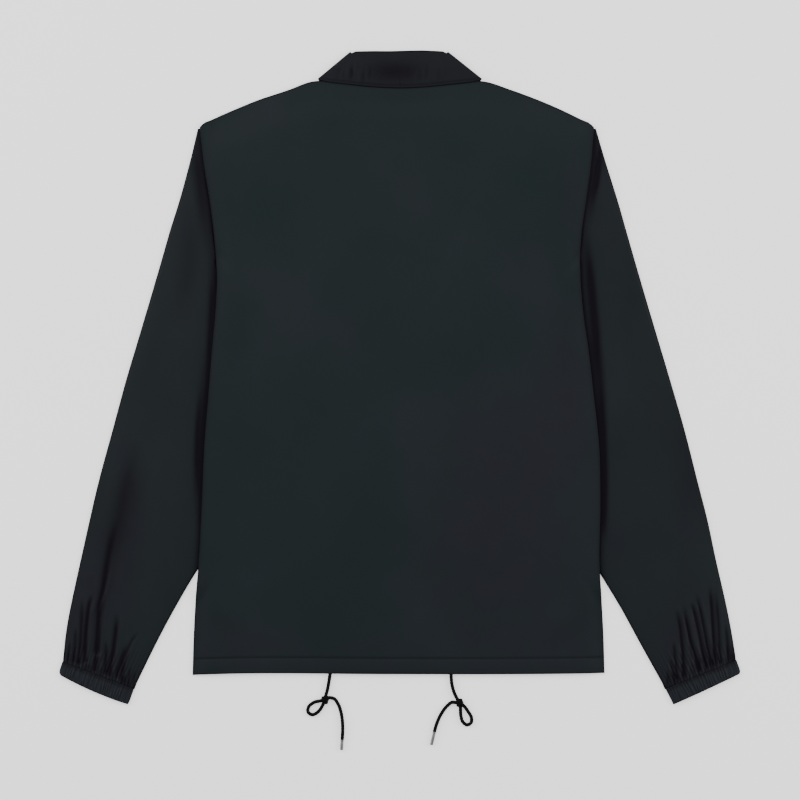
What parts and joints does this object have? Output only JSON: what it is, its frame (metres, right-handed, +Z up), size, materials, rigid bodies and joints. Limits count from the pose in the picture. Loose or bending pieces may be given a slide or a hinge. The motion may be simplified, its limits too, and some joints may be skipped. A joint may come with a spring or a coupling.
{
  "type": "coach jacket",
  "caption": "Lightweight nylon coach jacket laid flat with its back up, with a pointed collar, elastic cuffs and a hem drawcord tied in loops.",
  "frame": {"origin": "centre of the garment's outline on the surface that it lies on, the free ends of the drawcord left out", "axes": "+Z up from the surface, +Y towards the collar, +X towards the wearer's right sleeve, since the back is up"},
  "size_m": [0.8029, 0.8241, 0.0064],
  "materials": {
    "nylon": "fine plain-woven nylon, soft sheen",
    "cuff_nylon": "nylon casing ribbed by elastic",
    "collar_nylon": "fine plain-woven nylon, slightly glossier",
    "cord": "round braided cord",
    "tip_metal": "plain crimped metal tube",
    "snap_enamel": "satin enamel"
  },
  "bodies": {
    "root": {"back": "nylon", "front_left": "nylon", "front_right": "nylon", "sleeve_left": "nylon", "sleeve_right": "nylon", "cuff_left": "cuff_nylon", "cuff_right": "cuff_nylon", "collar": "collar_nylon", "collar_stand": "collar_nylon", "snap_1": "snap_enamel", "snap_2": "snap_enamel", "snap_3": "snap_enamel", "snap_4": "snap_enamel", "snap_5": "snap_enamel", "eyelet_left": "tip_metal", "eyelet_right": "tip_metal", "cord_lead_left": "cord", "cord_knot_left": "cord", "cord_loop_left": "cord", "cord_tail_left": "cord", "cord_tip_left": "tip_metal", "cord_lead_right": "cord", "cord_knot_right": "cord", "cord_loop_right": "cord", "cord_tail_right": "cord", "cord_tip_right": "tip_metal"}
  },
  "joints": []
}
